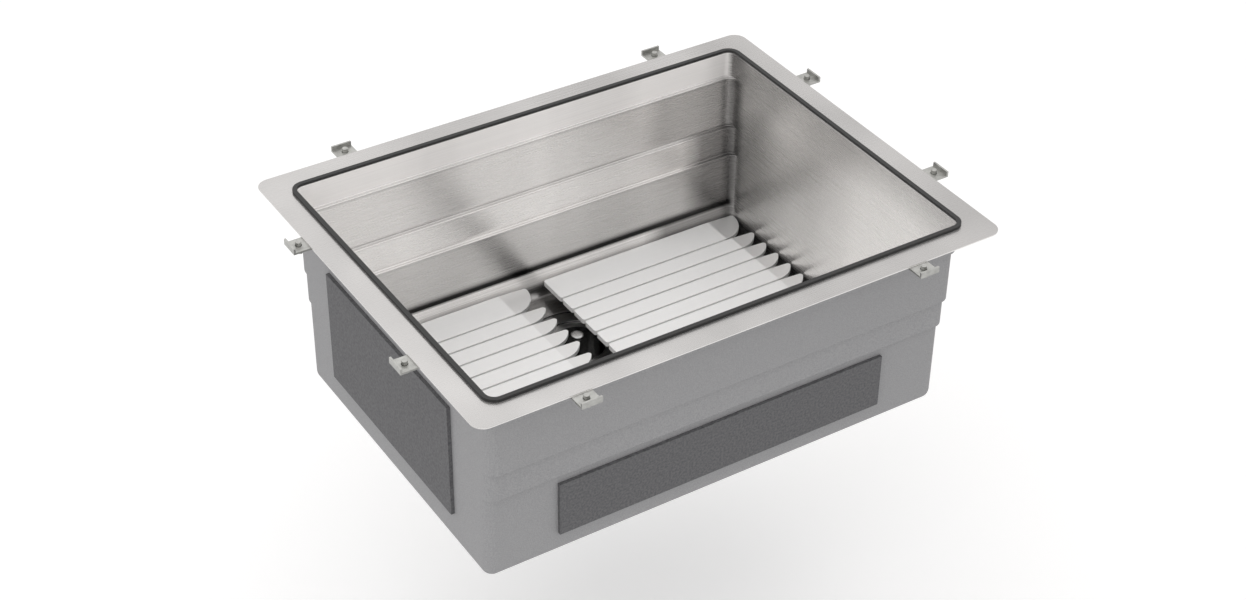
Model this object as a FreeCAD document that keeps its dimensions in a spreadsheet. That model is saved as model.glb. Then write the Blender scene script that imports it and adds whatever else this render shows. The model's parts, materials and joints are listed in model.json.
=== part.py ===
"""Undermount kitchen sink: a tiered steel bowl, its hanging hardware, its drain and two slatted racks.

Frame: millimetres, +Z up, +X to the right, +Y to the back. The origin is the centre of the bowl's
mouth, on the plane where the seal presses against the underside of the slab that holds the sink.
"""
import FreeCAD, Part
import Sketcher
import math
import os

V = FreeCAD.Vector

SIZES = {
    # bowl
    "bowl_length": 533.0,
    "bowl_width": 400.0,
    "corner_radius": 10.0,
    "gauge": 1.5,
    "flange_margin": 30.0,
    "flange_corner": 14.0,
    "ledge_run": 5.0,
    "first_ledge_depth": 33.0,
    "second_ledge_depth": 95.0,
    "third_ledge_depth": 129.0,
    "floor_depth": 228.6,
    "cove_radius": 9.5,
    "outer_bevel": 6.4,
    "slope_drop": 2.0,
    "slope_margin": 22.0,
    # drain opening
    "drain_setback": 95.0,
    "drain_hole_radius": 44.5,
    "recess_radius": 57.0,
    "recess_depth": 3.0,
    "recess_rim": 2.0,
    # seal on the flange
    "seal_width": 4.5,
    "seal_thickness": 3.0,
    # sound pads
    "pad_thickness": 4.0,
    "side_pad_length": 250.0,
    "side_pad_depth": 60.0,
    "side_pad_floor_gap": 38.6,
    "long_pad_length": 380.0,
    "long_pad_ledge_gap": 13.0,
    "long_pad_floor_gap": 24.6,
    "floor_pad_length": 140.0,
    "floor_pad_wall_gap": 36.0,
    "floor_pad_end_gap": 40.0,
    # clips that hold the flange up
    "clip_width": 22.0,
    "clip_plate": 2.0,
    "clip_toe": 18.0,
    "clip_reach": 18.0,
    "clip_hole_radius": 3.5,
    "clip_hole_distance": 8.0,
    "long_clip_spacing": 380.0,
    "short_clip_spacing": 220.0,
    # strainer body
    "strainer_flange_radius": 55.5,
    "strainer_flange": 1.6,
    "cup_radius": 42.0,
    "cup_wall": 1.5,
    "cup_depth": 50.0,
    "neck_radius": 21.5,
    "neck_bore": 18.0,
    "neck_length": 22.0,
    "locknut_reach": 56.0,
    "locknut_height": 11.0,
    "thread_fit": 0.05,
    # basket
    "basket_gap": 0.3,
    "basket_wall": 1.2,
    "basket_radius": 32.0,
    "basket_rim_radius": 39.8,
    "basket_rim_drop": 1.5,
    "basket_slot_width": 7.0,
    "basket_slot_margin": 9.0,
    "basket_base_slot_width": 3.0,
    "basket_base_slot_length": 8.0,
    "basket_base_slot_middle": 26.0,
    "basket_seal_radius": 21.0,
    "basket_seal_thickness": 4.0,
    "post_radius": 3.0,
    "knob_radius": 7.5,
    "knob_height": 7.0,
    "knob_rise": 6.0,
    # tail of the drain
    "tail_radius": 19.05,
    "tail_wall": 1.3,
    "tail_length": 112.0,
    "tail_flange_radius": 21.2,
    "tail_flange": 1.6,
    "coupling_play": 1.0,
    "coupling_reach": 30.0,
    "coupling_grip": 14.0,
    "coupling_lip": 2.6,
    # racks
    "rack_gap": 23.0,
    "rack_wall_gap": 3.5,
    "rack_end_gap": 1.3,
    "wide_slat": 38.0,
    "slat_gap": 2.5,
    "slat_thickness": 6.0,
    "slat_heel": 2.5,
    "slat_tip": 3.6,
    "slat_nose": 2.4,
    "wide_slat_sweep": 36.0,
    "narrow_slat_sweep": 30.0,
    "rail_inset": 45.0,
    "rail_width": 8.0,
    "rail_height": 6.0,
    "rail_end_gap": 4.0,
    "foot_length": 14.0,
    "foot_height": 7.0,
    "foot_inset": 18.5,
    "foot_gap": 0.3,
}

NARROW_SLATS = 12
LOCKNUT_SIDES = 8
COUPLING_SIDES = 6
BASKET_SIDE_SLOTS = 6
BASKET_BASE_SLOTS = 4

# Numbers that a sketch gives to the points of each piece of outline
START, END, CENTRE = range(1, 4)

doc = FreeCAD.newDocument("undermount_sink")
sheet = doc.addObject("Spreadsheet::Sheet", "sizes")


class Size:
    """A length with its number, for a first placing, and the sheet formula that it stays bound to."""

    def __init__(self, number, text):
        self.number = number
        self.text = text

    def join(self, other, sign, number):
        text = other.text if isinstance(other, Size) else repr(float(other))
        return Size(number, "(" + self.text + " " + sign + " " + text + ")")

    def __add__(self, other):
        return self.join(other, "+", self.number + plain(other))

    def __sub__(self, other):
        return self.join(other, "-", self.number - plain(other))

    def __mul__(self, other):
        return self.join(other, "*", self.number * plain(other))

    def __truediv__(self, other):
        return self.join(other, "/", self.number / plain(other))

    def __neg__(self):
        return Size(-self.number, "(-" + self.text + ")")

    __radd__ = __add__
    __rmul__ = __mul__


def plain(value):
    """The number of a size, or the value itself where it is a bare number."""
    return value.number if isinstance(value, Size) else value


class Sheet:
    """Fills the sheet, one cell for each driving size, and hands each out by name."""

    def __init__(self, sizes):
        for row, (name, value) in enumerate(sizes.items(), start=1):
            cell = "B" + str(row)
            sheet.set("A" + str(row), name)
            sheet.set(cell, repr(value))
            sheet.setAlias(cell, name)
            setattr(self, name, Size(value, "sizes." + name))


S = Sheet(SIZES)
ZERO = S.gauge * 0
doc.recompute()


def bind(thing, field, value):
    """Ties a property to a sheet formula."""
    thing.setExpression(field, value.text)


def place(thing, x=ZERO, y=ZERO, z=ZERO, turn=0.0):
    """Puts an object at sheet sizes, turned about the vertical by whole degrees."""
    thing.Placement = FreeCAD.Placement(V(0, 0, 0), FreeCAD.Rotation(V(0, 0, 1), turn))
    for axis, value in (("x", x), ("y", y), ("z", z)):
        bind(thing, "Placement.Base." + axis, value)


def new_body(name):
    body = doc.addObject("PartDesign::Body", name)
    body.Label = name
    return body


def plane_of(body, role):
    return next(p for p in body.Origin.OriginFeatures if p.Role == role)


def new_sketch(body, name, role="XY_Plane", lift=ZERO):
    """An empty sketch on one of the body's own planes, lifted along that plane's normal."""
    sketch = body.newObject("Sketcher::SketchObject", name)
    sketch.AttachmentSupport = (plane_of(body, role), [""])
    sketch.MapMode = "FlatFace"
    bind(sketch, "AttachmentOffset.Base.z", lift)
    return sketch


def fix(sketch, index, corner, x, y):
    """Dimensions one point of a sketch from the origin."""
    for kind, value in (("DistanceX", x), ("DistanceY", y)):
        number = sketch.addConstraint(
            Sketcher.Constraint(kind, -1, 1, index, corner, plain(value))
        )
        bind(sketch, "Constraints[" + str(number) + "]", value)


def outline(sketch, points):
    """A closed outline. A point is (x, y), or (x, y, centre x) where an arc leaves it for the next.

    Outlines run anticlockwise, and every arc turns to the left.
    """
    first = sketch.GeometryCount
    count = len(points)
    for i, point in enumerate(points):
        following = points[(i + 1) % count]
        a = V(plain(point[0]), plain(point[1]), 0)
        b = V(plain(following[0]), plain(following[1]), 0)
        if not has_arc(point):
            sketch.addGeometry(Part.LineSegment(a, b), False)
            continue
        centre = arc_centre(a, b, plain(point[2]))
        whole = Part.Circle(centre, V(0, 0, 1), (a - centre).Length)
        arc = Part.ArcOfCircle(whole, whole.parameter(a), whole.parameter(b))
        sketch.addGeometry(arc, False)
    for i, point in enumerate(points):
        index = first + i
        fix(sketch, index, START, point[0], point[1])
        following = first + (i + 1) % count
        sketch.addConstraint(Sketcher.Constraint("Coincident", index, END, following, START))
        if has_arc(point):
            centre_x = point[-1]
            number = sketch.addConstraint(
                Sketcher.Constraint("DistanceX", -1, 1, index, CENTRE, plain(centre_x))
            )
            bind(sketch, "Constraints[" + str(number) + "]", centre_x)


def has_arc(point):
    """Whether an arc leaves this point of an outline, because it states the arc's centre too."""
    x, y, *centre = point
    return bool(centre)


def arc_centre(a, b, centre_x):
    """The centre, at a known x, of the circle through two points."""
    middle = (a + b) * 0.5
    chord = b - a
    centre_y = middle.y - (centre_x - middle.x) * chord.x / chord.y
    return V(centre_x, centre_y, 0)


def rounded(sketch, length, width, radius, x=ZERO, y=ZERO):
    """A rectangle with round corners, centred on (x, y)."""
    right, left = x + length / 2, x - length / 2
    back, front = y + width / 2, y - width / 2
    outline(
        sketch,
        [
            (left + radius, front),
            (right - radius, front, right - radius),
            (right, front + radius),
            (right, back - radius, right - radius),
            (right - radius, back),
            (left + radius, back, left + radius),
            (left, back - radius),
            (left, front + radius, left + radius),
        ],
    )


def box(sketch, length, width, x=ZERO, y=ZERO):
    """A plain rectangle, centred on (x, y)."""
    right, left = x + length / 2, x - length / 2
    back, front = y + width / 2, y - width / 2
    outline(sketch, [(left, front), (right, front), (right, back), (left, back)])


def polygon(sketch, reach, sides):
    """An even-sided outline about the origin, whose corners lie at the given reach."""
    corners = [math.tau * i / sides for i in range(sides)]
    outline(sketch, [(reach * math.cos(a), reach * math.sin(a)) for a in corners])


def circle(sketch, radius, x=ZERO, y=ZERO):
    index = sketch.addGeometry(
        Part.Circle(V(plain(x), plain(y), 0), V(0, 0, 1), plain(radius)), False
    )
    fix(sketch, index, CENTRE, x, y)
    number = sketch.addConstraint(Sketcher.Constraint("Radius", index, plain(radius)))
    bind(sketch, "Constraints[" + str(number) + "]", radius)


def pad(body, sketch, length, down=False, both_ways=False):
    feature = body.newObject("PartDesign::Pad", sketch.Name + "_pad")
    feature.Profile = sketch
    bind(feature, "Length", length)
    feature.Reversed = down
    feature.Midplane = both_ways
    doc.recompute()
    return feature


def pocket(body, sketch, length, up=False, both_ways=False):
    feature = body.newObject("PartDesign::Pocket", sketch.Name + "_cut")
    feature.Profile = sketch
    bind(feature, "Length", length)
    feature.Reversed = up
    feature.Midplane = both_ways
    doc.recompute()
    return feature


def turned(body, sketch):
    """A solid of revolution about the sketch's upright axis."""
    feature = body.newObject("PartDesign::Revolution", sketch.Name + "_turn")
    feature.Profile = sketch
    feature.ReferenceAxis = (sketch, ["V_Axis"])
    feature.Angle = 360
    doc.recompute()
    return feature


def around(body, feature, count):
    """Repeats a feature about the body's upright axis."""
    pattern = body.newObject("PartDesign::PolarPattern", feature.Name + "_ring")
    pattern.Originals = [feature]
    pattern.Axis = (next(p for p in body.Origin.OriginFeatures if p.Role == "Z_Axis"), [""])
    pattern.Angle = 360
    pattern.Occurrences = count
    body.Tip = pattern
    doc.recompute()
    return pattern


def edges_where(shape, test):
    """Names of the edges whose every point passes the test."""
    names = []
    for number, edge in enumerate(shape.Edges, start=1):
        if all(test(point) for point in edge.discretize(5)):
            names.append("Edge" + str(number))
    return names


def fillet(body, name, base, radius, test):
    """Rounds the edges of the last feature that pass the test."""
    feature = body.newObject("PartDesign::Fillet", name)
    feature.Base = (base, edges_where(base.Shape, test))
    bind(feature, "Radius", radius)
    doc.recompute()
    return feature


def bevel(body, name, base, size, test):
    """Bevels the edges of the last feature that pass the test."""
    feature = body.newObject("PartDesign::Chamfer", name)
    feature.Base = (base, edges_where(base.Shape, test))
    bind(feature, "Size", size)
    doc.recompute()
    return feature


def near(a, b):
    """Whether two numbers agree to well under the thinnest wall."""
    return abs(a - b) < S.gauge.number / 1000


# Levels that several pieces share
flange_top = -S.seal_thickness
flange_under = flange_top - S.gauge
floor_top = -S.floor_depth
floor_under = floor_top - S.gauge
seat_top = floor_top - S.slope_drop
recess_floor = seat_top - S.recess_depth
lower_width = S.bowl_width - S.ledge_run * 6
flange_length = S.bowl_length + S.flange_margin * 2
flange_width = S.bowl_width + S.flange_margin * 2
drain_y = lower_width / 2 - S.drain_setback
slope_x = S.bowl_length / 2 - S.slope_margin
slope_y = lower_width / 2 - S.slope_margin
seat_reach = S.recess_radius + S.recess_rim


def make_bowl():
    """The one-piece bowl: flange, three ledges front and back, a floor that falls to the drain."""
    body = new_body("bowl")
    flange = new_sketch(body, "flange_outline", lift=flange_top)
    rounded(flange, flange_length, flange_width, S.flange_corner)
    pad(body, flange, S.gauge, down=True)
    tiers = [
        (S.bowl_width, S.first_ledge_depth),
        (S.bowl_width - S.ledge_run * 2, S.second_ledge_depth),
        (S.bowl_width - S.ledge_run * 4, S.third_ledge_depth),
        (lower_width, S.floor_depth),
    ]
    skin = S.gauge * 2
    for number, (width, depth) in enumerate(tiers):
        outer = new_sketch(body, "tier_outer_" + str(number), lift=flange_top)
        rounded(outer, S.bowl_length + skin, width + skin, S.corner_radius + S.gauge)
        pad(body, outer, depth + S.gauge + flange_top, down=True)
    for number, (width, depth) in enumerate(tiers):
        inner = new_sketch(body, "tier_inner_" + str(number), lift=flange_top)
        rounded(inner, S.bowl_length, width, S.corner_radius)
        last = pocket(body, inner, depth + flange_top)
    last = fillet(body, "inner_cove", last, S.cove_radius, lambda p: near(p.z, floor_top.number))
    bevel(body, "outer_cove", last, S.outer_bevel, lambda p: near(p.z, floor_under.number))
    make_slope(body, "Additive", floor_under)
    recess_outer = new_sketch(body, "recess_outer", lift=floor_under)
    circle(recess_outer, S.recess_radius + S.gauge, y=drain_y)
    pad(body, recess_outer, S.slope_drop + S.recess_depth, down=True)
    make_slope(body, "Subtractive", floor_top)
    recess = new_sketch(body, "recess", lift=floor_top)
    circle(recess, S.recess_radius, y=drain_y)
    pocket(body, recess, S.slope_drop + S.recess_depth)
    hole = new_sketch(body, "drain_hole", lift=floor_top)
    circle(hole, S.drain_hole_radius, y=drain_y)
    pocket(body, hole, S.slope_drop + S.recess_depth + S.gauge * 2)
    return body


def make_slope(body, kind, level):
    """Four flat facets that fall from the floor's margin to the square round the drain."""
    wedge = body.newObject("PartDesign::" + kind + "Wedge", body.Name + kind + "_slope")
    wedge.AttachmentSupport = (plane_of(body, "XZ_Plane"), [""])
    wedge.MapMode = "FlatFace"
    # the wedge stands on the upright plane, so its own height runs up and its depth runs to the front
    corners = {
        "Xmin": -seat_reach,
        "Xmax": seat_reach,
        "X2min": -slope_x,
        "X2max": slope_x,
        "Ymin": level - S.slope_drop,
        "Ymax": level,
        "Zmin": -drain_y - seat_reach,
        "Zmax": seat_reach - drain_y,
        "Z2min": -slope_y,
        "Z2max": slope_y,
    }
    for field, value in corners.items():
        bind(wedge, field, value)
    doc.recompute()
    return wedge


def make_seal():
    """The dark seal round the mouth, on top of the flange."""
    body = new_body("flange_seal")
    ring = new_sketch(body, "seal_outline", lift=flange_top)
    wide = S.seal_width * 2
    rounded(ring, S.bowl_length + wide, S.bowl_width + wide, S.corner_radius + S.seal_width)
    rounded(ring, S.bowl_length, S.bowl_width, S.corner_radius)
    pad(body, ring, S.seal_thickness)
    return body


def make_pads():
    """Rubber sheets glued outside the bowl, which deaden its ring."""
    pads = []
    side_x = S.bowl_length / 2 + S.gauge
    side_height = S.floor_depth - S.side_pad_depth - S.side_pad_floor_gap
    side_z = -(S.side_pad_depth + side_height / 2)
    for name, x in (("sound_pad_left", -side_x - S.pad_thickness), ("sound_pad_right", side_x)):
        body = new_body(name)
        sheet_outline = new_sketch(body, name + "_outline", "YZ_Plane")
        box(sheet_outline, S.side_pad_length, side_height)
        pad(body, sheet_outline, S.pad_thickness)
        place(body, x=x, z=side_z)
        pads.append(body)
    long_y = lower_width / 2 + S.gauge
    long_top = -S.third_ledge_depth - S.long_pad_ledge_gap
    long_height = long_top - floor_top - S.long_pad_floor_gap
    long_z = long_top - long_height / 2
    for name, y in (("sound_pad_front", -long_y), ("sound_pad_back", long_y + S.pad_thickness)):
        body = new_body(name)
        sheet_outline = new_sketch(body, name + "_outline", "XZ_Plane")
        box(sheet_outline, S.long_pad_length, long_height)
        pad(body, sheet_outline, S.pad_thickness)
        place(body, y=y, z=long_z)
        pads.append(body)
    floor_x = S.bowl_length / 2 - S.floor_pad_wall_gap - S.floor_pad_length / 2
    floor_width = lower_width - S.floor_pad_end_gap * 2
    for name, x in (("sound_pad_floor_left", -floor_x), ("sound_pad_floor_right", floor_x)):
        body = new_body(name)
        sheet_outline = new_sketch(body, name + "_outline", lift=floor_under)
        box(sheet_outline, S.floor_pad_length, floor_width, x=x)
        pad(body, sheet_outline, S.pad_thickness, down=True)
        make_slope(body, "Subtractive", floor_under)
        pads.append(body)
    doc.recompute()
    return pads


def clip_places():
    """Where the clips stand on the flange's edge: x, y and the turn that points them outwards."""
    long_y = flange_width / 2
    short_x = flange_length / 2
    places = []
    for side, turn in ((-1, 180), (1, 0)):
        for end in (-1, 1):
            places.append((short_x * side, S.short_clip_spacing / 2 * end, turn))
            places.append((S.long_clip_spacing / 2 * end, long_y * side, turn + 90))
    return places


def copies_of(name, master, places):
    """One node of separate solids: a copy of the master at each place, given as x, y, z and turn."""
    copies = []
    for x, y, z, turn in places:
        copy = doc.addObject("App::Link", name + "_copy")
        copy.LinkedObject = master
        copy.LinkTransform = False
        place(copy, x=x, y=y, z=z, turn=turn)
        copies.append(copy)
    node = doc.addObject("Part::Compound", name)
    node.Label = name
    node.Links = copies
    doc.recompute()
    return node


def make_clips():
    """Bent plates whose toes press the flange up, each with a hole for a screw into the slab.

    The master is drawn with the flange's edge at its own origin and +X pointing outwards.
    """
    clip = new_body("clip_master")
    side = new_sketch(clip, "clip_side", "XZ_Plane")
    outline(
        side,
        [
            (-S.clip_toe, flange_under - S.clip_plate),
            (S.clip_reach, flange_under - S.clip_plate),
            (S.clip_reach, ZERO),
            (S.clip_reach - S.clip_plate, ZERO),
            (S.clip_reach - S.clip_plate, flange_under),
            (-S.clip_toe, flange_under),
        ],
    )
    pad(clip, side, S.clip_width, both_ways=True)
    hole = new_sketch(clip, "clip_hole", lift=flange_under)
    circle(hole, S.clip_hole_radius, x=S.clip_hole_distance)
    pocket(clip, hole, S.clip_plate * 2)
    places = [(x, y, ZERO, turn) for x, y, turn in clip_places()]
    return copies_of("mounting_clips", clip, places)


def make_turned(name, points, level):
    """A piece turned about the drain's axis: points are (radius, height above the level)."""
    body = new_body(name)
    profile = new_sketch(body, name + "_profile", "XZ_Plane")
    outline(profile, points)
    turned(body, profile)
    place(body, y=drain_y, z=level)
    return body


def rod(name, radius, low, high):
    """A plain round piece on the drain's axis, between two heights over the recess."""
    return make_turned(name, [(ZERO, low), (radius, low), (radius, high), (ZERO, high)], recess_floor)


cup_seat = -S.cup_depth
neck_end = cup_seat - S.neck_length
cup_inner = S.cup_radius - S.cup_wall
tail_top = recess_floor + neck_end


def make_drain():
    """The strainer body in its recess, the rings below the floor that clamp it, and the tail."""
    neck_wall = S.neck_radius - S.neck_bore
    strainer = make_turned(
        "strainer_body",
        [
            (S.neck_bore, neck_end),
            (S.neck_radius, neck_end),
            (S.neck_radius, cup_seat - neck_wall),
            (S.cup_radius, cup_seat - neck_wall),
            (S.cup_radius, ZERO),
            (S.strainer_flange_radius, ZERO),
            (S.strainer_flange_radius, S.strainer_flange),
            (cup_inner, S.strainer_flange),
            (cup_inner, cup_seat),
            (S.neck_bore, cup_seat),
        ],
        recess_floor,
    )
    locknut = new_body("strainer_locknut")
    flats = new_sketch(locknut, "locknut_flats", lift=recess_floor - S.gauge)
    polygon(flats, S.locknut_reach, LOCKNUT_SIDES)
    pad(locknut, flats, S.locknut_height, down=True)
    thread = new_sketch(locknut, "locknut_thread", lift=recess_floor - S.gauge)
    circle(thread, S.cup_radius + S.thread_fit)
    pocket(locknut, thread, S.locknut_height)
    place(locknut, y=drain_y)
    tail_inner = S.tail_radius - S.tail_wall
    tailpiece = make_turned(
        "tailpiece",
        [
            (tail_inner, -S.tail_length),
            (S.tail_radius, -S.tail_length),
            (S.tail_radius, -S.tail_flange),
            (S.tail_flange_radius, -S.tail_flange),
            (S.tail_flange_radius, ZERO),
            (tail_inner, ZERO),
        ],
        tail_top,
    )
    return [strainer, locknut, tailpiece, make_coupling()]


def make_coupling():
    """The six-sided nut that pulls the tail up against the neck."""
    nut = new_body("coupling_nut")
    lip = tail_top - S.tail_flange - S.coupling_lip
    flats = new_sketch(nut, "coupling_flats", lift=lip)
    polygon(flats, S.coupling_reach, COUPLING_SIDES)
    pad(nut, flats, S.coupling_grip + S.tail_flange + S.coupling_lip)
    mouth = new_sketch(nut, "coupling_mouth", lift=tail_top - S.tail_flange)
    circle(mouth, S.neck_radius + S.thread_fit)
    pocket(nut, mouth, S.coupling_grip + S.tail_flange, up=True)
    throat = new_sketch(nut, "coupling_throat", lift=lip)
    circle(throat, S.tail_radius + S.coupling_play)
    pocket(nut, throat, S.coupling_lip, up=True)
    place(nut, y=drain_y)
    return nut


def make_basket():
    """The slotted basket that lifts to let the water out, with its seal, post and knob.

    The slots in its base lie outside the seal, so the water drains when the seal is up.
    """
    base = cup_seat + S.basket_gap + S.basket_seal_thickness
    rim = S.strainer_flange - S.basket_rim_drop
    wall = S.basket_wall
    basket = make_turned(
        "strainer_basket",
        [
            (ZERO, base),
            (S.basket_radius, base),
            (S.basket_radius, rim - wall),
            (S.basket_rim_radius, rim - wall),
            (S.basket_rim_radius, rim),
            (S.basket_radius - wall, rim),
            (S.basket_radius - wall, base + wall),
            (ZERO, base + wall),
        ],
        recess_floor,
    )
    slot = new_sketch(basket, "side_slot", "YZ_Plane")
    slot_height = rim - base - S.basket_slot_margin * 2
    box(slot, S.basket_slot_width, slot_height, y=(rim + base) / 2)
    around(basket, pocket(basket, slot, S.basket_rim_radius), BASKET_SIDE_SLOTS)
    base_slot = new_sketch(basket, "base_slot", lift=base + wall * 2)
    length, width = S.basket_base_slot_length, S.basket_base_slot_width
    box(base_slot, length, width, x=S.basket_base_slot_middle)
    around(basket, pocket(basket, base_slot, wall * 3), BASKET_BASE_SLOTS)
    seal = rod("basket_seal", S.basket_seal_radius, base - S.basket_seal_thickness, base)
    knob_base = S.strainer_flange + S.knob_rise
    post = rod("basket_post", S.post_radius, base + wall, knob_base)
    knob = rod("basket_knob", S.knob_radius, knob_base, knob_base + S.knob_height)
    return [basket, seal, post, knob]


rack_length = (S.bowl_length - S.rack_gap) / 2 - S.rack_end_gap
rack_width = lower_width - S.rack_wall_gap * 2
rack_place = S.rack_gap / 2 + rack_length / 2
foot_low = floor_top + S.foot_gap
rail_low = foot_low + S.foot_height
slat_low = rail_low + S.rail_height
narrow_pitch = (rack_width - S.wide_slat * 2 - S.slat_gap) / NARROW_SLATS
narrow_slat = narrow_pitch - S.slat_gap


def slat_rows():
    """Each slat's back edge, width and sweep, from the back of the rack to its front."""
    back = rack_width / 2
    rows = [(back, S.wide_slat, S.wide_slat_sweep)]
    first = back - S.wide_slat - S.slat_gap
    for i in range(NARROW_SLATS):
        rows.append((first - narrow_pitch * i, narrow_slat, S.narrow_slat_sweep))
    rows.append((S.wide_slat - back, S.wide_slat, S.wide_slat_sweep))
    return rows


def make_slat(name, place_x, back, width, sweep):
    """One slat: a blunt left end, and a right end that sweeps back to a tip, like a fin."""
    right, left = rack_length / 2, -(rack_length / 2)
    front = -width
    heel = S.slat_heel
    body = new_body(name)
    plan = new_sketch(body, name + "_plan")
    outline(
        plan,
        [
            (left + heel, front),
            (right - sweep, front, right - sweep),
            (right, -S.slat_tip),
            (right - S.slat_nose, ZERO),
            (left + heel, ZERO),
            (left, -heel),
            (left, front + heel),
        ],
    )
    pad(body, plan, S.slat_thickness)
    place(body, x=place_x, y=back, z=slat_low)
    return body


def make_rack(side, place_x):
    """Slats on two cross rails, with a rubber foot under each end of each rail."""
    nodes = []
    for number, (back, width, sweep) in enumerate(slat_rows(), start=1):
        name = side + "_rack_slat_" + str(number).zfill(2)
        nodes.append(make_slat(name, place_x, back, width, sweep))
    rail_x = rack_length / 2 - S.rail_inset
    rail_length = rack_width - S.rail_end_gap * 2
    for end, x in (("left", -rail_x), ("right", rail_x)):
        name = side + "_rack_rail_" + end
        rail = new_body(name)
        plan = new_sketch(rail, name + "_plan")
        box(plan, S.rail_width, rail_length)
        pad(rail, plan, S.rail_height)
        place(rail, x=place_x + x, z=rail_low)
        nodes.append(rail)
    foot = new_body(side + "_rack_foot_master")
    plan = new_sketch(foot, side + "_foot_plan")
    box(plan, S.rail_width, S.foot_length)
    pad(foot, plan, S.foot_height)
    foot_y = rack_width / 2 - S.foot_inset
    places = []
    for column in (-1, 1):
        for row in (-1, 1):
            places.append((place_x + rail_x * column, foot_y * row, foot_low, 0))
    nodes.append(copies_of(side + "_rack_feet", foot, places))
    return nodes


def write(nodes):
    """Checks every object and every node's shape, then writes one file for each node."""
    doc.recompute()
    for thing in doc.Objects:
        for bad in ("Invalid", "Error"):
            if bad in thing.State:
                raise RuntimeError(thing.Name + " is " + bad)
    for node in nodes:
        shape = node.Shape
        if shape.isNull() or not shape.isValid() or not shape.Solids:
            raise RuntimeError(node.Label + " has no sound solid")
    os.makedirs("parts", exist_ok=True)
    for node in nodes:
        node.Shape.exportStep(os.path.join("parts", node.Label + ".step"))


all_nodes = [make_bowl(), make_seal(), make_clips()]
all_nodes += make_pads()
all_nodes += make_drain()
all_nodes += make_basket()
all_nodes += make_rack("left", -rack_place)
all_nodes += make_rack("right", rack_place)
write(all_nodes)
print("nodes", len(all_nodes))
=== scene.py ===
"""The looks of the undermount sink: a finish for every piece, soft light, the camera."""
import json
import math

import bmesh
import bpy
from mathutils import Matrix, Vector


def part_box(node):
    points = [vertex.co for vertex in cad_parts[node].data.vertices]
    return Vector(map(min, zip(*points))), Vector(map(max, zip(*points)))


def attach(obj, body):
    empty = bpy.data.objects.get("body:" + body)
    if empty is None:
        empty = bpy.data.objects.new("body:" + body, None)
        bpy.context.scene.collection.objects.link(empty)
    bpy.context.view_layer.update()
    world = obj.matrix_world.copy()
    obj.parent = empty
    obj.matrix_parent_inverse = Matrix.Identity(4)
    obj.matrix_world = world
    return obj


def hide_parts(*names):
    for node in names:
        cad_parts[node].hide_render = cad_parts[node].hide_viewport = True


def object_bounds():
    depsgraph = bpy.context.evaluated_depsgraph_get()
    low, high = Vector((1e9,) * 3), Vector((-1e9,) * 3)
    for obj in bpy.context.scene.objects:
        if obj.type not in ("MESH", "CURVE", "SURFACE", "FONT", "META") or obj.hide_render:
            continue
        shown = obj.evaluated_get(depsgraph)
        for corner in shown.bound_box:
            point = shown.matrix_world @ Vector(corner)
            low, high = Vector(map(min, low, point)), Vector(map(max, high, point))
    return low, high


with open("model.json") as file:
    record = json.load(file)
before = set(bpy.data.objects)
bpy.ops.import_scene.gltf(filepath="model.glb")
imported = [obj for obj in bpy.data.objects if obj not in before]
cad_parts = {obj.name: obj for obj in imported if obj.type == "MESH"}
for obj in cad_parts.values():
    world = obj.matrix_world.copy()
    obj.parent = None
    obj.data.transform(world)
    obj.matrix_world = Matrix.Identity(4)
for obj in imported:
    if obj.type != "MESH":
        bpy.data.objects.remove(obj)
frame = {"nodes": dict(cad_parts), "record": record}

cad_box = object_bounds()
nodes = frame["nodes"]

MM = 0.001
QUARTER_TURN = math.pi / 2
UPWARDS = (0.0, 0.0, 1.0)
BACKWARDS = (0.0, 1.0, 0.0)

# The photo's camera, solved from the edges of the mouth: its place in metres, its focal
# length in the photo's own pixels and its tilt in degrees. It is zoomed out until the
# whole object shows.
EYE = Vector((-1.00925, -1.56981, 1.24975))
AIM = Vector((0.0, 0.0, -0.118))
VIEW_ROLL = 0.79
PHOTO_WIDTH = 1246
PHOTO_FOCAL = 3316.0
ZOOM_OUT = 1.47
SENSOR = 36.0

# The bowl, in millimetres, as it is built. A tier is the half width and the depth of its
# foot, and the flange is half its length, half its width and its corner radius.
HALF_LENGTH = 266.5
TIERS = ((200.0, 33.0), (195.0, 95.0), (190.0, 129.0), (185.0, 228.6))
CORNER = 10.0
GAUGE = 1.5
RIM = -3.0
FLANGE = (296.5, 230.0, 14.0)
COVE = 9.5
SLOPE_MARGIN = 22.0
SLOPE_DROP = 2.0
SLOPE_CORNER = 1.0
DRAIN_Y = 90.0
RECESS_RADIUS = 57.0
RECESS_RIM = 2.0
RECESS_DEPTH = 3.0
DRAIN_HOLE = 44.5

# The sheet's bends, in millimetres: at the ledges, at the mouth inside, and the least
# that the mouth's bend and a corner come down to. Each ledge also falls a little.
BEND = 1.2
MOUTH_BEND = 0.72
LEAST_BEND = 0.2
LEAST_CORNER = 0.4
LEDGE_FALL = 0.05

# The steps of each round corner, each bend and the cove, and how many of the outer rings,
# counted from the flange, have no undercoat
CORNER_STEPS = 12
BEND_STEPS = 4
COVE_STEPS = 8
BARE_OUTER_RINGS = 2

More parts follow.
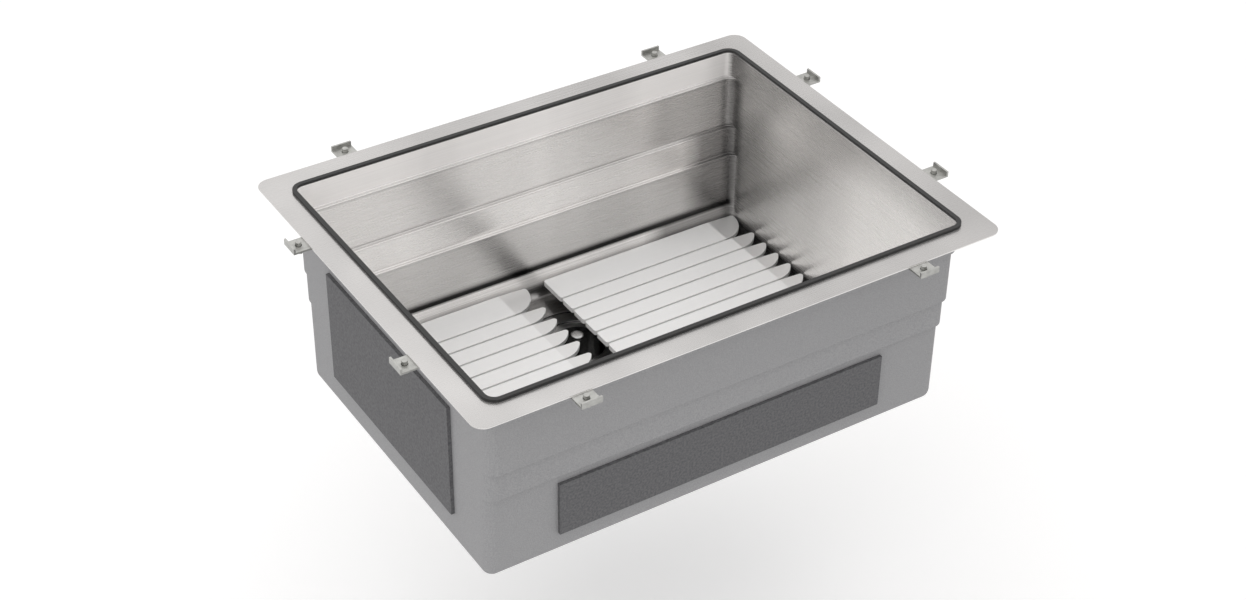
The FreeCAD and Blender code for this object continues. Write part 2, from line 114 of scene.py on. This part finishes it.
# The steel at each depth in the bowl, in millimetres: its tone, its tone at the far end,
# where the far end starts, in metres to the right of the middle, and how bare it is. The
# tones hold painted light and shade: a painted tone for each tier, dark painted shade
# under each ledge, a black painted shadow line low on the long walls, a floor darkened
# as painted shade under the racks, and painted shade that darkens the far end.
STEEL_AND_SHADE_BY_DEPTH = (
    (0.0, 0.42, 0.42, 0.145, 1.0),
    (-3.1, 0.42, 0.42, 0.145, 1.0),
    (-3.6, 1.0, 1.0, 0.145, 0.0),
    (-31.5, 1.0, 1.0, 0.145, 0.0),
    (-34.0, 0.66, 0.50, 0.145, 0.8),
    (-37.0, 0.94, 0.66, 0.145, 0.8),
    (-92.0, 0.92, 0.66, 0.145, 0.8),
    (-94.0, 0.54, 0.36, 0.195, 0.8),
    (-97.0, 1.0, 0.40, 0.195, 0.8),
    (-127.0, 1.0, 0.36, 0.195, 0.8),
    (-130.0, 0.62, 0.30, 0.195, 0.8),
    (-134.0, 0.72, 0.34, 0.195, 0.8),
    (-182.0, 0.68, 0.34, 0.195, 0.8),
    (-185.0, 0.54, 0.32, 0.195, 0.8),
    # a black painted shadow line low on the long walls
    (-187.5, 0.27, 0.22, 0.195, 0.9),
    (-190.0, 0.03, 0.06, 0.145, 1.0),
    (-194.2, 0.02, 0.02, 0.145, 1.0),
    (-197.0, 0.90, 0.30, 0.145, 0.4),
    (-198.5, 1.0, 0.40, 0.145, 0.2),
    (-212.0, 1.0, 0.40, 0.145, 0.2),
    # the floor, darkened as painted shade under the racks
    (-222.0, 0.30, 0.30, 0.145, 1.0),
    (-240.0, 0.30, 0.30, 0.145, 1.0),
)
DEPTH, NEAR_TONE, FAR_SHADED_TONE, FAR_START, BARENESS = range(5)
LOWEST = STEEL_AND_SHADE_BY_DEPTH[-1][DEPTH]

# A stretch of a measure and what it becomes: from, to, the value at from and at to.
# Heights and distances are in metres. A facing tells how far a face looks along an axis.
WHOLE = (0.0, 1.0)
DEPTH_SHARE = (LOWEST * MM, 0.0, *WHOLE)
FAR_END_SHADE = (0.0, 0.03, *WHOLE)
# Painted shade on the end walls: darker towards the corner behind the right rack, at the
# top, as a painted shadow at the foot and in a painted dark patch; then which faces are
# end walls
END_SHADE = (0.05, 0.28, 0.60, 1.0)
END_TOP = (-0.05, -0.004, 1.0, 0.70)
END_FOOT = (-0.216, -0.208, 0.22, 1.0)
END_PATCH = (0.018, 0.042, 0.50, 1.0)
END_FACING = (0.5, 0.9, *WHOLE)
# Painted shade on the bend in that corner, under the first ledge
BEND_SHADE = (0.005, 0.018, 0.38, 1.0)
FIRST_LEDGE = (-0.036, -0.031, 1.0, 0.0)
# Painted streaks that stand for streaky reflections:
PAINTED_STREAK_TONE = (0.35, 0.65, 0.90, 1.06)
LINE_TONE = (0.3, 0.7, 0.985, 1.015)
BOWL_ROUGHNESS = (0.3, 0.7, 0.25, 0.29)
RACK_ROUGHNESS = (0.3, 0.7, 0.40, 0.48)
NOSE_METAL = (0.015, 0.045, 0.04, 0.60)
NOSE_FACING = (0.015, 0.045, *WHOLE)
MOST_NOISE = (0.3, 0.7)
MIDDLE_NOISE = (0.35, 0.65)

# Places in the corner behind the right rack, in metres, about which shade is painted, and
# what leaves the height out
END_SHADE_PLACE = (HALF_LENGTH * MM, TIERS[0][0] * MM, -0.09)
END_PATCH_PLACE = (HALF_LENGTH * MM, TIERS[0][0] * MM, -0.006)
BEND_PLACE = (HALF_LENGTH * MM, 0.1875, 0.0)
PLAN_ONLY = (1.0, 1.0, 0.0)

# The brush lines: noise along and across them, its detail, and their relief in metres
BRUSH_ALONG = 4.0
BRUSH_ACROSS = 2600.0
BRUSH_DETAIL = 3.0
BRUSH_RELIEF = 0.0001

# The bowl's steel: how far its sheen is stretched, the strength of its brush lines, its
# colour, how bare its end walls are, and its painted streaks, which run down the walls
# and stand for streaky reflections
BOWL_SHEEN = 0.75
BOWL_BRUSH = 0.008
BOWL_COLOUR = (0.985, 0.965, 0.95)
BLACK = (0.0, 0.0, 0.0)
END_METAL = 0.8
PAINTED_STREAKS = (11.0, 7.0, 0.6)
STREAK_DETAIL = 1.5

# The racks' steel, and the darker grey painted at the slats' noses as shade
RACK_SHEEN = 0.3
RACK_SPECULAR = 0.3
RACK_BRUSH = 0.03
RACK_COLOURS = ((0.89, 0.89, 0.885), (0.92, 0.92, 0.915))
NOSE_SHADE_COLOUR = (0.83, 0.83, 0.825)

# How far roughness spreads to either side of its middle, and the detail of the mottling
# and the pebbles, whose relief is in metres
METAL_SMOOTHER, METAL_ROUGHER = 0.05, 0.07
MOTTLE_DETAIL = 4.0
SOFT_SPREAD = 0.06
PEBBLE_DETAIL = 3.0
PEBBLE_RELIEF = 0.0004

# How strongly the sky lights the object, its strength as a background, its colour, and
# what lifts the floor to white where it is seen
WORLD_LIGHT = 0.76
WORLD_SEEN = 1.0
WORLD_COLOUR = (1.0, 0.99, 0.985, 1.0)
FLOOR_GLOW = 0.22

# The floor: how far it lies under the part and reaches, in metres, and its finish
FLOOR_DROP = 0.10
FLOOR_REACH = 12.0
FLOOR_ROUGHNESS = 0.9
FLOOR_CLOUD = 1.2
FLOOR_DETAIL = 2.0
FLOOR_COLOURS = ((0.90, 0.90, 0.90), (0.93, 0.93, 0.93))
WHITE = (1.0, 1.0, 1.0, 1.0)

# The lamps: size in metres, power in watts, place and aim
LAMPS = {
    "overhead": ((3.2, 2.8), 14.0, (-0.1, 0.2, 1.7), (0.0, 0.0, 0.0)),
    "front_left": ((1.6, 1.6), 4.0, (-1.7, -1.2, 1.3), (0.0, 0.0, -0.1)),
}

# The racks' slats, in millimetres. Those over WIDE_FROM have the longer sweep, and the
# tip's curve is drawn to the share NOSE_END of its length. Each station along a slat has
# CORNERS points.
NARROW_SWEEP = 30.0
WIDE_SWEEP = 36.0
WIDE_FROM = 37.0
SLAT_TIP = 3.6
SLAT_NOSE = 2.4
SLAT_HEEL = 2.5
SLAT_EDGE = 0.8
SLAT_FALL = 1.6
SWEEP_STEPS = 18
NOSE_END = 0.95
CORNERS = 4

# The clips' screws, in millimetres: radius, lowest and highest level over the clip's
# underside, and sides
WASHER = (7.0, -1.4, 0.0, 28)
SCREW_HEAD = (5.6, -5.4, -1.4, 6)
SCREW_SHANK = (3.0, -5.0, 6.3, 20)
SCREW_EDGE = 0.35

# Edges sharper than this many degrees stay crisp or get a small bevel, in this many steps
BOWL_CREASE = 40.0
CREASE = 50.0
BEVEL_STEPS = 2

# The basket's knob: shares of its radius, up its height
KNOB_SIDES = 40
KNOB_PROFILE = (
    (0.62, 0.0),
    (0.55, 0.12),
    (0.55, 0.30),
    (0.66, 0.42),
    (0.88, 0.50),
    (0.97, 0.58),
    (1.0, 0.68),
    (0.97, 0.80),
    (0.88, 0.89),
    (0.70, 0.96),
    (0.42, 0.99),
    (0.12, 1.0),
)


def node(material, kind, **settings):
    """A shader node with its plain settings."""
    made = material.node_tree.nodes.new("ShaderNode" + kind)
    for name, value in settings.items():
        setattr(made, name, value)
    return made


def feed(material, target, values):
    """Gives inputs of a node, by name or number, a wire or a value of their own."""
    for name, value in values.items():
        socket = target.inputs[name]
        if isinstance(value, bpy.types.NodeSocket):
            material.node_tree.links.new(value, socket)
        else:
            socket.default_value = value


def new_material(name):
    material = bpy.data.materials.new(name)
    material.use_nodes = True
    tree = material.node_tree
    shader = next(n for n in tree.nodes if n.type == "BSDF_PRINCIPLED")
    return material, shader


def own_place(material):
    """Each point's place in its piece's own coordinates."""
    return node(material, "TexCoord").outputs["Object"]


def noise(material, frequencies, detail):
    """Noise over the piece's own coordinates, with a frequency for each axis."""
    stretch = node(material, "Mapping")
    feed(material, stretch, {"Vector": own_place(material), "Scale": frequencies})
    field = node(material, "TexNoise")
    place = stretch.outputs["Vector"]
    feed(material, field, {"Vector": place, "Scale": 1.0, "Detail": detail})
    return field.outputs["Fac"]


def ramp(material, source, stretch):
    """Maps a stretch of a value to another stretch."""
    remap = node(material, "MapRange")
    names = ("From Min", "From Max", "To Min", "To Max")
    feed(material, remap, {"Value": source, **dict(zip(names, stretch))})
    return remap.outputs["Result"]


def blend(material, kind, factor, first, second):
    """A mix of two numbers, vectors or colours."""
    mixer = node(material, "Mix", data_type=kind)
    feed(material, mixer, {"Factor": factor, "A": first, "B": second})
    return mixer.outputs["Result"]


def mix(material, factor, first, second):
    return blend(material, "FLOAT", factor, first, second)


def tint(material, factor, first, second):
    """A mix of two colours, each a wire or plain red, green and blue."""
    wired = bpy.types.NodeSocket
    pair = [c if isinstance(c, wired) else (*c, 1.0) for c in (first, second)]
    return blend(material, "RGBA", factor, *pair)


def calculate(material, operation, *values, clamp=False):
    """Arithmetic on wires or numbers."""
    made = node(material, "Math", operation=operation, use_clamp=clamp)
    feed(material, made, dict(enumerate(values)))
    return made.outputs["Value"]


def multiply(material, first, second, clamp=False):
    return calculate(material, "MULTIPLY", first, second, clamp=clamp)


def distance(material, source, centre):
    away = node(material, "VectorMath", operation="DISTANCE")
    feed(material, away, {0: source, 1: centre})
    return away.outputs["Value"]


def split(material, vector):
    """The three axes of a vector, by name."""
    parts = node(material, "SeparateXYZ")
    feed(material, parts, {"Vector": vector})
    return parts.outputs


def facing(material):
    """How far a face looks along each axis."""
    return split(material, node(material, "NewGeometry").outputs["Normal"])


def relief(material, height, strength, depth):
    bump = node(material, "Bump")
    feed(material, bump, {"Height": height, "Strength": strength, "Distance": depth})
    return bump.outputs["Normal"]


def brush_lines(material, shader, strength):
    """Fine lines in relief, level on upright faces and lengthways on flat ones.

    The sheen is turned across them: up on a wall, to the back on a flat face.
    """
    level = noise(material, (BRUSH_ALONG, BRUSH_ALONG, BRUSH_ACROSS), BRUSH_DETAIL)
    lengthways = noise(material, (BRUSH_ALONG, BRUSH_ACROSS, BRUSH_ALONG), BRUSH_DETAIL)
    flat = calculate(material, "ABSOLUTE", facing(material)["Z"])
    lines = mix(material, flat, level, lengthways)
    across = blend(material, "VECTOR", flat, UPWARDS, BACKWARDS)
    normal = relief(material, lines, strength, BRUSH_RELIEF)
    feed(material, shader, {"Normal": normal, "Tangent": across})
    return lines


def by_depth(material, share, column):
    """One column of the table of steel and painted shade, read at each point's depth."""
    tones = node(material, "ValToRGB")
    stops = tones.color_ramp.elements
    for number, row in enumerate(reversed(STEEL_AND_SHADE_BY_DEPTH)):
        position = 1.0 - row[DEPTH] / LOWEST
        if number < len(stops):
            stop = stops[number]
            stop.position = position
        else:
            stop = stops.new(position)
        stop.color = (row[column], row[column], row[column], 1.0)
    feed(material, tones, {"Fac": share})
    return tones.outputs["Color"]


def long_wall_painted_tone(material, axes, share):
    """Each tier's painted tone, darkened as painted shade past the place where its far end
    starts.
    """
    start = by_depth(material, share, FAR_START)
    past = calculate(material, "SUBTRACT", axes["X"], start)
    far_shade = ramp(material, past, FAR_END_SHADE)
    near_tone = by_depth(material, share, NEAR_TONE)
    far_tone = by_depth(material, share, FAR_SHADED_TONE)
    return mix(material, far_shade, near_tone, far_tone)


def end_wall_painted_shade(material, place, axes):
    """One tone without tiers, with painted shade at the top, the foot, a patch and towards
    the corner.
    """
    tone = ramp(material, distance(material, place, END_SHADE_PLACE), END_SHADE)
    tone = multiply(material, tone, ramp(material, axes["Z"], END_TOP))
    tone = multiply(material, tone, ramp(material, axes["Z"], END_FOOT))
    patch = ramp(material, distance(material, place, END_PATCH_PLACE), END_PATCH)
    return multiply(material, tone, patch)


def corner_bend_painted_shade(material, place, axes):
    """Painted shade on the bend in the corner behind the right rack, under the first
    ledge.
    """
    plan = node(material, "Mapping")
    feed(material, plan, {"Vector": place, "Scale": PLAN_ONLY})
    away = distance(material, plan.outputs["Vector"], BEND_PLACE)
    below = ramp(material, axes["Z"], FIRST_LEDGE)
    return mix(material, below, 1.0, ramp(material, away, BEND_SHADE))


def bowl_steel(name):
    """Warm satin steel with brush lines, painted reflection streaks and painted shade by
    tier.
    """
    material, shader = new_material(name)
    lines = brush_lines(material, shader, BOWL_BRUSH)
    place = own_place(material)
    axes = split(material, place)
    share = ramp(material, axes["Z"], DEPTH_SHARE)
    sideways = calculate(material, "ABSOLUTE", facing(material)["X"])
    end_wall = ramp(material, sideways, END_FACING)
    long_painted_tone = long_wall_painted_tone(material, axes, share)
    tone = mix(material, end_wall, long_painted_tone, end_wall_painted_shade(material, place, axes))
    # soft streaks painted in for streaky reflections
    streak = noise(material, PAINTED_STREAKS, STREAK_DETAIL)
    tone = multiply(material, tone, ramp(material, streak, PAINTED_STREAK_TONE))
    tone = multiply(material, tone, corner_bend_painted_shade(material, place, axes))
    tone = multiply(material, tone, ramp(material, lines, LINE_TONE), clamp=True)
    bare = by_depth(material, share, BARENESS)
    looks = {
        "Base Color": tint(material, tone, BLACK, BOWL_COLOUR),
        "Metallic": mix(material, end_wall, bare, END_METAL),
        "Roughness": ramp(material, lines, BOWL_ROUGHNESS),
        "Anisotropic": BOWL_SHEEN,
    }
    feed(material, shader, looks)
    return material


def rack_steel(name):
    """Nearly white satin steel with fine lengthways lines.

    The noses, which fall away to the right, mirror more than the flats and are painted a
    darker grey as shade.
    """
    material, shader = new_material(name)
    lines = brush_lines(material, shader, RACK_BRUSH)
    colour = tint(material, ramp(material, lines, (*MOST_NOISE, *WHOLE)), *RACK_COLOURS)
    to_the_right = facing(material)["X"]
    # painted shade: faces that look to the right are a darker grey
    nose = ramp(material, to_the_right, NOSE_FACING)
    looks = {
        "Base Color": tint(material, nose, colour, NOSE_SHADE_COLOUR),
        "Metallic": ramp(material, to_the_right, NOSE_METAL),
        "Roughness": ramp(material, lines, RACK_ROUGHNESS),
        "Anisotropic": RACK_SHEEN,
        "Specular IOR Level": RACK_SPECULAR,
    }
    feed(material, shader, looks)
    return material


def plain_metal(name, dark, light, rough, metallic=1.0, grain=90.0):
    """Turned or plated metal with faint mottling."""
    material, shader = new_material(name)
    mottle = noise(material, (grain, grain, grain), MOTTLE_DETAIL)
    spread = ramp(material, mottle, (*MOST_NOISE, *WHOLE))
    roughness = (*MOST_NOISE, rough - METAL_SMOOTHER, rough + METAL_ROUGHER)
    looks = {
        "Base Color": tint(material, spread, dark, light),
        "Metallic": metallic,
        "Roughness": ramp(material, mottle, roughness),
    }
    feed(material, shader, looks)
    return material


def soft_solid(name, dark, light, rough, grain=700.0, bump=0.25):
    """Rubber or sprayed coat with a fine pebbled surface."""
    material, shader = new_material(name)
    pebble = noise(material, (grain, grain, grain), PEBBLE_DETAIL)
    spread = ramp(material, pebble, (*MIDDLE_NOISE, *WHOLE))
    roughness = (*MOST_NOISE, rough - SOFT_SPREAD, rough + SOFT_SPREAD)
    looks = {
        "Base Color": tint(material, spread, dark, light),
        "Roughness": ramp(material, pebble, roughness),
        "Normal": relief(material, pebble, bump, PEBBLE_RELIEF),
    }
    feed(material, shader, looks)
    return material


FINISHES = {
    "brushed_steel": bowl_steel("bowl_steel"),
    "rack_steel": rack_steel("rack_steel"),
    "polished_steel": plain_metal(
        "strainer_steel", dark=(0.30, 0.30, 0.30), light=(0.38, 0.38, 0.375), rough=0.20
    ),
    "zinc_plate": plain_metal(
        "zinc",
        dark=(0.36, 0.36, 0.345),
        light=(0.50, 0.50, 0.48),
        rough=0.42,
        metallic=0.9,
        grain=160.0,
    ),
    "black_rubber": soft_solid(
        "black_rubber", dark=(0.012, 0.012, 0.012), light=(0.03, 0.03, 0.03), rough=0.6
    ),
    "grey_rubber": soft_solid(
        "pad_rubber",
        dark=(0.09, 0.09, 0.095),
        light=(0.15, 0.15, 0.155),
        rough=0.75,
        grain=420.0,
        bump=0.5,
    ),
}
UNDERCOAT = soft_solid(
    "undercoat",
    dark=(0.30, 0.30, 0.31),
    light=(0.38, 0.38, 0.385),
    rough=0.8,
    grain=900.0,
    bump=0.6,
)


def dress():
    """Gives each node the finish that its record names."""
    for part in frame["record"]["subparts"]:
        mesh = nodes[part["node"]].data
        mesh.materials.clear()
        mesh.materials.append(FINISHES[part["material_slot"]])


def add(name, data):
    """A new object in the scene."""
    made = bpy.data.objects.new(name, data)
    bpy.context.scene.collection.objects.link(made)
    return made


def new_mesh(name, vertices, faces):
    mesh = bpy.data.meshes.new(name)
    mesh.from_pydata(vertices, [], faces)
    return mesh


def piece(name, mesh, body, slot):
    """A new piece that moves with a body and has the finish of a slot."""
    made = add(name, mesh)
    mesh.materials.append(FINISHES[slot])
    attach(made, body)
    return made


def smooth(made, angle):
    """Smooth shading with crisp edges, and flat faces that stay flat beside bends."""
    mesh = made.data
    mesh.polygons.foreach_set("use_smooth", [True] * len(mesh.polygons))
    mesh.set_sharp_from_angle(angle=math.radians(angle))
    weigh = made.modifiers.new("weigh", "WEIGHTED_NORMAL")
    weigh.keep_sharp = True


def ease(made, width):
    """Small bevels on the sharp edges, and smooth shading."""
    bevel = made.modifiers.new("ease", "BEVEL")
    bevel.width = width * MM
    bevel.segments = BEVEL_STEPS
    bevel.limit_method = "ANGLE"
    bevel.angle_limit = math.radians(CREASE)
    smooth(made, CREASE)


def quarter(steps):
    """Cosine and sine over a quarter turn."""
    for i in range(steps + 1):
        a = QUARTER_TURN * i / steps
        yield math.cos(a), math.sin(a)


def ring(half_x, half_y, radius, z):
    """Points of a rectangle with round corners, anticlockwise."""
    points = []
    for turn, (sx, sy) in enumerate(((1, 1), (-1, 1), (-1, -1), (1, -1))):
        for c, s in quarter(CORNER_STEPS):
            if turn % 2:
                c, s = s, c
            x = sx * (half_x - radius + radius * c)
            y = sy * (half_y - radius + radius * s)
            points.append((x, y, z))
    return points


def circle_ring(radius, z):
    """Points of a circle about the drain, one for each point of a rectangle's ring."""
    count = CORNER_STEPS + 1
    points = []
    for turn in range(4):
        for i in range(count):
            a = QUARTER_TURN * (turn + (i + 0.5) / count)
            points.append((radius * math.cos(a), DRAIN_Y + radius * math.sin(a), z))
    return points


def mouth_rings(offset):
    """The flange's edge and the bend from the flange into the walls."""
    top = RIM - offset
    mouth = max(BEND - offset, LEAST_BEND) if offset else MOUTH_BEND
    rings = [ring(*FLANGE, top)]
    for c, s in quarter(BEND_STEPS):
        out = offset + mouth - mouth * s
        level = top - mouth + mouth * c
        rings.append(ring(HALF_LENGTH + out, TIERS[0][0] + out, CORNER + out, level))
    return rings


def ledge_rings(offset):
    """The two bends of each ledge, in along it and then down the next tier."""
    half_x = HALF_LENGTH + offset
    corner = CORNER + offset
    rings = []
    for (half_y, depth), (next_y, _) in zip(TIERS, TIERS[1:]):
        outer_y = half_y + offset - BEND
        inner_y = next_y + offset + BEND
        over = BEND - depth - offset
        under = -depth - offset - LEDGE_FALL - BEND
        for c, s in quarter(BEND_STEPS):
            rings.append(ring(half_x, outer_y + BEND * c, corner, over - BEND * s))
        for c, s in quarter(BEND_STEPS):
            rings.append(ring(half_x, inner_y - BEND * s, corner, under + BEND * c))
    return rings


def floor_rings(offset):
    """The cove, the floor that falls to the drain, the recess and the drain hole."""
    low_y, depth = TIERS[-1]
    floor = -depth - offset
    cove = COVE + offset
    rings = []
    for c, s in quarter(COVE_STEPS):
        inward = cove - cove * c
        half_x = HALF_LENGTH + offset - inward
        half_y = low_y + offset - inward
        corner = max(CORNER + offset - inward, LEAST_CORNER)
        rings.append(ring(half_x, half_y, corner, floor + cove - cove * s))
    flat_x, flat_y = HALF_LENGTH - SLOPE_MARGIN, low_y - SLOPE_MARGIN
    rings.append(ring(flat_x, flat_y, SLOPE_CORNER, floor))
    seat = floor - SLOPE_DROP
    wall = RECESS_RADIUS + offset
    rings.append(circle_ring(wall + RECESS_RIM, seat))
    rings.append(circle_ring(wall + BEND / 2, seat))
    rings.append(circle_ring(wall, seat - BEND / 2))
    rings.append(circle_ring(wall, seat - RECESS_DEPTH))
    rings.append(circle_ring(DRAIN_HOLE, seat - RECESS_DEPTH))
    return rings


def skin_rings(offset):
    """Rings down one face of the sheet, from the flange to the drain hole."""
    return mouth_rings(offset) + ledge_rings(offset) + floor_rings(offset)


def make_bowl():
    """The bowl as one bent sheet: steel inside and on the flange, undercoat outside."""
    inner = skin_rings(0.0)
    outer = skin_rings(GAUGE)
    rings = inner + outer[::-1]
    count = len(rings[0])
    vertices = [[v * MM for v in point] for loop in rings for point in loop]
    faces = []
    finish = []
    for i in range(len(rings)):
        here = i * count
        below = (i + 1) % len(rings) * count
        coated = len(inner) <= i < len(rings) - BARE_OUTER_RINGS
        for j in range(count):
            k = (j + 1) % count
            faces.append((here + j, here + k, below + k, below + j))
            finish.append(int(coated))
    mesh = new_mesh("bowl_sheet", vertices, faces)
    made = piece("bowl_sheet", mesh, "sink", "brushed_steel")
    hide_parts("bowl")
    mesh.materials.append(UNDERCOAT)
    mesh.polygons.foreach_set("material_index", finish)
    smooth(made, BOWL_CREASE)


def slat_stations(length, width, sweep):
    """Places along a slat, from its round heel to its swept nose.

    Each is x, the front edge, the back edge and the fall, in millimetres.
    """
    right, left = length / 2, -length / 2
    centre_y = (width**2 - sweep**2 - SLAT_TIP**2) / (2 * (SLAT_TIP - width))
    radius = centre_y + width
    last = math.asin(sweep / radius)
    for c, s in quarter(BEND_STEPS):
        inset = SLAT_HEEL - SLAT_HEEL * s
        yield left + SLAT_HEEL - SLAT_HEEL * c, inset - width, -inset, 0.0
    for i in range(SWEEP_STEPS + 1):
        a = last * i / SWEEP_STEPS
        x = right - sweep + radius * math.sin(a)
        past = min(max(x - right + SLAT_NOSE, 0.0) / SLAT_NOSE, NOSE_END)
        back = SLAT_TIP * math.sqrt(1.0 - past**2) - SLAT_TIP
        fall = SLAT_FALL * (x - right + sweep) / sweep
        yield x, centre_y - radius * math.cos(a), back, fall


def make_slat(name, body):
    """One slat with eased edges and a nose that falls away, in the box of its node."""
    low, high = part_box(name)
    size = (high - low) / MM
    sweep = WIDE_SWEEP if size.y > WIDE_FROM else NARROW_SWEEP
    middle = (low.x + high.x) / 2
    vertices, faces = [], []
    for x, front, back, fall in slat_stations(size.x, size.y, sweep):
        for y in (front, back):
            vertices.append((middle + x * MM, high.y + y * MM, high.z - fall * MM))
            vertices.append((middle + x * MM, high.y + y * MM, low.z))
    final = len(vertices) - CORNERS
    for near in range(0, final, CORNERS):
        far = near + CORNERS
        faces.append((near, far, far + 2, near + 2))
        faces.append((near + 1, near + 3, far + 3, far + 1))
        faces.append((near, near + 1, far + 1, far))
        faces.append((near + 2, far + 2, far + 3, near + 3))
    faces.append((0, 2, 3, 1))
    faces.append((final, final + 1, final + 3, final + 2))
    mesh = new_mesh(name + "_strip", vertices, faces)
    made = piece(name + "_strip", mesh, body, "rack_steel")
    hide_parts(name)
    ease(made, SLAT_EDGE)


def make_racks():
    for body in ("left_rack", "right_rack"):
        for name in frame["record"]["behaviour"]["bodies"][body]:
            if "slat" in name:
                make_slat(name, body)


def screw_places():
    """The middles of the clips' holes, which the record gives as bolt patterns."""
    places = []
    for mount in frame["record"]["mounts"]:
        if mount["kind"] == "bolt_pattern":
            x = mount["dims"]["spacing_x_mm"] / 2 * MM
            y = mount["dims"]["spacing_y_mm"] / 2 * MM
            places += [(sx * x, sy * y) for sx in (-1, 1) for sy in (-1, 1)]
    return places


def make_screws():
    """A screw with its washer up through each clip."""
    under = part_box("mounting_clips")[0].z
    for number, (x, y) in enumerate(screw_places()):
        form = bmesh.new()
        for radius, low, high, sides in (WASHER, SCREW_HEAD, SCREW_SHANK):
            height = (high - low) * MM
            middle = Matrix.Translation((x, y, under + low * MM + height / 2))
            bmesh.ops.create_cone(
                form,
                cap_ends=True,
                segments=sides,
                radius1=radius * MM,
                radius2=radius * MM,
                depth=height,
                matrix=middle,
            )
        mesh = bpy.data.meshes.new("clip_screw_" + str(number))
        form.to_mesh(mesh)
        form.free()
        made = piece(mesh.name, mesh, "sink", "zinc_plate")
        ease(made, SCREW_EDGE)


def make_knob():
    """The basket's turned knob, with a waist and a domed top, in the box of its node."""
    low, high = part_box("basket_knob")
    middle = (low + high) / 2
    wide = (high.x - low.x) / 2
    tall = high.z - low.z
    vertices, faces = [], []
    for share, level in KNOB_PROFILE:
        for i in range(KNOB_SIDES):
            a = math.tau * i / KNOB_SIDES
            x = middle.x + wide * share * math.cos(a)
            y = middle.y + wide * share * math.sin(a)
            vertices.append((x, y, low.z + tall * level))
    for turn in range(len(KNOB_PROFILE) - 1):
        below = turn * KNOB_SIDES
        above = below + KNOB_SIDES
        for i in range(KNOB_SIDES):
            k = (i + 1) % KNOB_SIDES
            faces.append((below + i, below + k, above + k, above + i))
    faces.append(tuple(reversed(range(KNOB_SIDES))))
    faces.append(tuple(range(len(vertices) - KNOB_SIDES, len(vertices))))
    mesh = new_mesh("knob_turning", vertices, faces)
    made = piece("knob_turning", mesh, "basket", "polished_steel")
    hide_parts("basket_knob")
    smooth(made, CREASE)


def seen_or_mirrored(shaded, light, background):
    """A strength for light on the object, and one where the eye or a mirror sees it."""
    rays = node(shaded, "LightPath").outputs
    seen = calculate(shaded, "MAXIMUM", rays["Is Camera Ray"], rays["Is Glossy Ray"])
    shown = calculate(shaded, "MAXIMUM", seen, rays["Is Transmission Ray"])
    return ramp(shaded, shown, (*WHOLE, light, background))


def make_floor():
    """A plain pale floor under the hanging part."""
    low = cad_box[0][2] - FLOOR_DROP
    far = FLOOR_REACH
    corners = [(-far, -far, low), (far, -far, low), (far, far, low), (-far, far, low)]
    mesh = new_mesh("floor", corners, [(0, 1, 2, 3)])
    floor = add("floor", mesh)
    material, shader = new_material("floor")
    cloud = noise(material, (FLOOR_CLOUD, FLOOR_CLOUD, FLOOR_CLOUD), FLOOR_DETAIL)
    looks = {
        "Base Color": tint(material, cloud, *FLOOR_COLOURS),
        "Roughness": FLOOR_ROUGHNESS,
        "Emission Color": WHITE,
        "Emission Strength": seen_or_mirrored(material, 0.0, FLOOR_GLOW),
    }
    feed(material, shader, looks)
    mesh.materials.append(material)


def lamp(name, size, power, place, aim):
    """A soft rectangular lamp at one place, pointing at another."""
    data = bpy.data.lights.new(name, "AREA")
    data.shape = "RECTANGLE"
    data.size, data.size_y = size
    data.energy = power
    made = add(name, data)
    made.location = place
    way = Vector(aim) - Vector(place)
    made.rotation_euler = way.to_track_quat("-Z", "Y").to_euler()


def make_light():
    world = bpy.data.worlds.new("studio")
    bpy.context.scene.world = world
    world.use_nodes = True
    ground = next(n for n in world.node_tree.nodes if n.type == "BACKGROUND")
    strength = seen_or_mirrored(world, WORLD_LIGHT, WORLD_SEEN)
    feed(world, ground, {"Color": WORLD_COLOUR, "Strength": strength})
    for name, (size, power, place, aim) in LAMPS.items():
        lamp(name, size, power, place, aim)


def make_camera():
    """The photo's viewpoint and tilt, aimed at the middle of the bowl."""
    ahead = (AIM - EYE).normalized()
    right = ahead.cross(Vector(UPWARDS)).normalized()
    up = right.cross(ahead)
    roll = math.radians(VIEW_ROLL)
    turned_right = right * math.cos(roll) + up * math.sin(roll)
    turned_up = up * math.cos(roll) - right * math.sin(roll)
    data = bpy.data.cameras.new("camera")
    data.sensor_width = SENSOR
    data.lens = PHOTO_FOCAL / PHOTO_WIDTH * SENSOR / ZOOM_OUT
    camera = add("camera", data)
    basis = Matrix((turned_right, turned_up, -ahead)).transposed()
    camera.matrix_world = Matrix.Translation(EYE) @ basis.to_4x4()
    bpy.context.scene.camera = camera


dress()
make_bowl()
make_racks()
make_screws()
make_knob()
make_floor()
make_light()
make_camera()
bpy.context.scene.view_settings.view_transform = "Standard"
